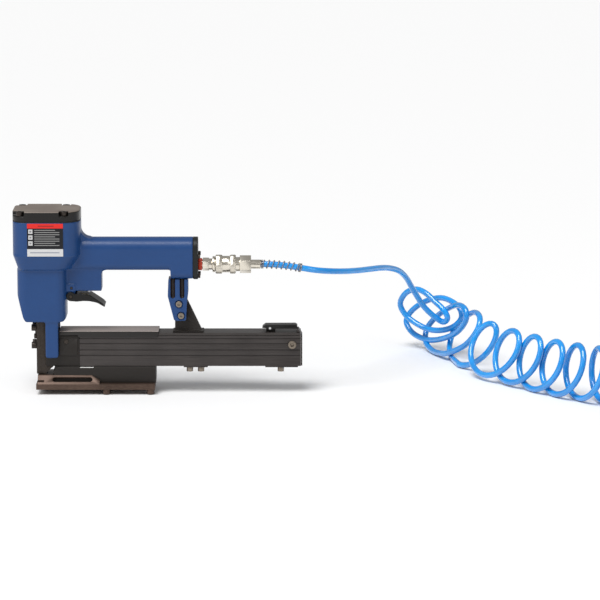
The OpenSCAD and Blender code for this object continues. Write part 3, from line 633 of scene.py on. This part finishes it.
def make_coupler_sleeve():
    """The coupler's sliding sleeve: two knurled bands with a plain waist between."""
    low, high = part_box("coupler_sleeve")
    x0, x1 = low.x / MM, high.x / MM
    axis_z = (low.z + high.z) / 2 / MM
    outer, waist, bore = (high.z - low.z) / 2 / MM, 10.8, 9.3
    ribs = 44
    profile = [
        (0, bore), (0, outer - 0.9), (0.8, outer), (8.0, outer), (8.6, outer - 0.7), (9.2, waist),
        (18.2, waist), (19.0, outer - 0.7), (19.6, outer), (x1 - x0 - 0.8, outer),
        (x1 - x0, outer - 0.9), (x1 - x0, bore), (0, bore),
    ]
    bm = bmesh.new()
    lathe(bm, profile, (x0, 0, axis_z), (1, 0, 0), ribs * 4)
    for vert in bm.verts:
        radial = Vector((0, vert.co.y, vert.co.z - axis_z * MM))
        along = vert.co.x / MM - x0
        on_band = 0.5 < along < 8.3 or 19.3 < along < x1 - x0 - 0.5
        if on_band and radial.length > (outer - 0.3) * MM:
            turn = math.atan2(radial.z, radial.y) * ribs
            vert.co -= radial.normalized() * (0.28 - 0.28 * math.cos(turn)) * MM
    return stand_in(piece_from(bm, "coupler_sleeve_knurled", 50), "coupler_sleeve")


def make_collar():
    """The red collar on the plug's thread, with a ribbed rim."""
    low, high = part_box("plug_collar")
    x0, x1 = low.x / MM, high.x / MM
    axis_z = (low.z + high.z) / 2 / MM
    outer, bore, ribs = (high.z - low.z) / 2 / MM, 6.6, 24
    width = x1 - x0
    profile = [
        (0, bore), (0, outer - 0.6), (0.6, outer), (width - 0.6, outer), (width, outer - 0.6),
        (width, bore), (0, bore),
    ]
    bm = bmesh.new()
    lathe(bm, profile, (x0, 0, axis_z), (1, 0, 0), ribs * 4)
    for vert in bm.verts:
        radial = Vector((0, vert.co.y, vert.co.z - axis_z * MM))
        if radial.length > (outer - 0.7) * MM:
            turn = math.atan2(radial.z, radial.y) * ribs
            vert.co -= radial.normalized() * (0.3 - 0.3 * math.cos(turn)) * MM
    return stand_in(piece_from(bm, "plug_collar_ribbed", 50), "plug_collar")


# ---------------------------------------------------------------- stage


def area_light(name, at, aim, size, power):
    data = bpy.data.lights.new(name, "AREA")
    data.shape = "SQUARE"
    data.size = size
    data.energy = power
    light = bpy.data.objects.new(name, data)
    light.location = at
    light.rotation_mode = "QUATERNION"
    light.rotation_quaternion = (Vector(aim) - Vector(at)).to_track_quat("-Z", "Y")
    scene.collection.objects.link(light)


def make_stage():
    bm = bmesh.new()
    bmesh.ops.create_grid(bm, x_segments=1, y_segments=1, size=12)
    mesh = bpy.data.meshes.new("floor")
    bm.to_mesh(mesh)
    bm.free()
    floor = bpy.data.objects.new("floor", mesh)
    floor.location.z = -0.0002
    scene.collection.objects.link(floor)
    pale = Finish("pale_floor", roughness=0.75)
    pale.set("Base Color", rgb(0.9, 0.9, 0.9))
    floor.data.materials.append(pale.material)
    world = bpy.data.worlds.new("studio")
    world.use_nodes = True
    world.node_tree.nodes["Background"].inputs["Color"].default_value = rgb(1, 1, 1)
    world.node_tree.nodes["Background"].inputs["Strength"].default_value = 0.36
    scene.world = world
    sun = bpy.data.lights.new("sun", "SUN")
    sun.energy = 2.7
    sun.angle = math.radians(35)
    sunlight = bpy.data.objects.new("sun", sun)
    sunlight.rotation_mode = "QUATERNION"
    sunlight.rotation_quaternion = Vector((0.3, 0.45, -1)).to_track_quat("-Z", "Y")
    scene.collection.objects.link(sunlight)
    middle = (0.1, 0, 0.1)
    area_light("left_box", (-1.3, -1.0, 0.9), middle, 0.7, 4)
    area_light("right_box", (1.5, -1.3, 1.1), middle, 0.7, 4)
    scene.view_settings.view_transform = "Standard"


# ---------------------------------------------------------------- making

make_camera()
finishes = make_finishes()
guard = make_spring_guard()
hose = make_hose()

for name, node in frame["nodes"].items():
    node.data.materials.clear()
    node.data.materials.append(finishes[slot_of(name)])

cast("housing", 1.1, 5)
cast("rear_bracket", 0.6, 5)
cast("trigger", 0.45, 6)
cast("end_cap", 0.6, 4)
cast("cylinder_cap", 0.8, 4)
for node, width in (
    ("nose_plate", 0.5), ("nose_back_plate", 0.5), ("magazine_nose", 0.4), ("magazine_cover", 0.4),
    ("gusset_plate", 0.4), ("shoe_bar", 0.6), ("shoe_plate", 0.6), ("shoe_feet", 0.4), ("latch_lever", 0.5),
    ("latch_bracket", 0.4), ("rail_end_block", 0.5), ("magazine_pads", 0.3), ("cap_screws", 0.3),
    ("end_cap_screws", 0.25), ("nose_screws", 0.35), ("nose_dowels", 0.4), ("magazine_side_screws", 0.35),
    ("magazine_base_screws", 0.35), ("bracket_screws", 0.35), ("hose_nut", 0.5), ("air_plug", 0.35),
    ("coupler_body", 0.3), ("hose_end_fitting", 0.5), ("magazine_body", 0.25), ("magazine_nose_pins", 0.3),
):
    eased(node, width)
make_coupler_sleeve()
make_collar()

make_stage()
